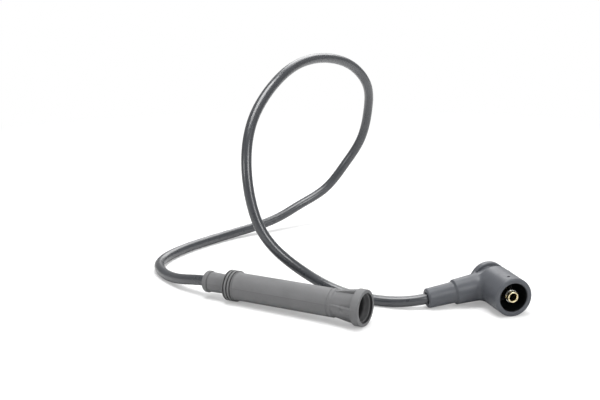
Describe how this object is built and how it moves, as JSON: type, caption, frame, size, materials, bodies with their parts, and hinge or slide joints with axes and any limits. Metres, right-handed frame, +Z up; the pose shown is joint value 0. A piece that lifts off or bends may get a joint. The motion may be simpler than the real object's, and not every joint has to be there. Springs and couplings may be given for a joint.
{
  "type": "spark plug wire",
  "caption": "Ignition lead with a long straight spark plug boot, a right-angle distributor boot and a moulded cable that stands in a loop.",
  "frame": {"origin": "on the bench, at the bottom centre of the box round the two boots", "axes": "+X runs in plan along the straight boot towards its mouth and along the longer side of the boots' box, +Z up from the bench"},
  "size_m": [0.2718, 0.231, 0.1487],
  "materials": {
    "plug_boot_rubber": "satin mid grey moulded rubber",
    "distributor_boot_rubber": "satin dark slate moulded rubber",
    "cable_sheath": "glossy dark slate silicone sheath",
    "socket_brass": "bright rolled brass",
    "tinned_steel": "dull tinned steel",
    "spring_steel": "bright spring wire",
    "core_wire": "dull tinned conductor"
  },
  "bodies": {
    "root": {"plug_boot": "plug_boot_rubber", "plug_terminal": "tinned_steel", "plug_terminal_clip": "spring_steel", "plug_core_end": "core_wire", "cable": "cable_sheath", "distributor_boot": "distributor_boot_rubber", "distributor_socket": "socket_brass", "socket_spring_ring": "spring_steel", "distributor_terminal": "socket_brass", "distributor_core_end": "core_wire"}
  },
  "joints": []
}
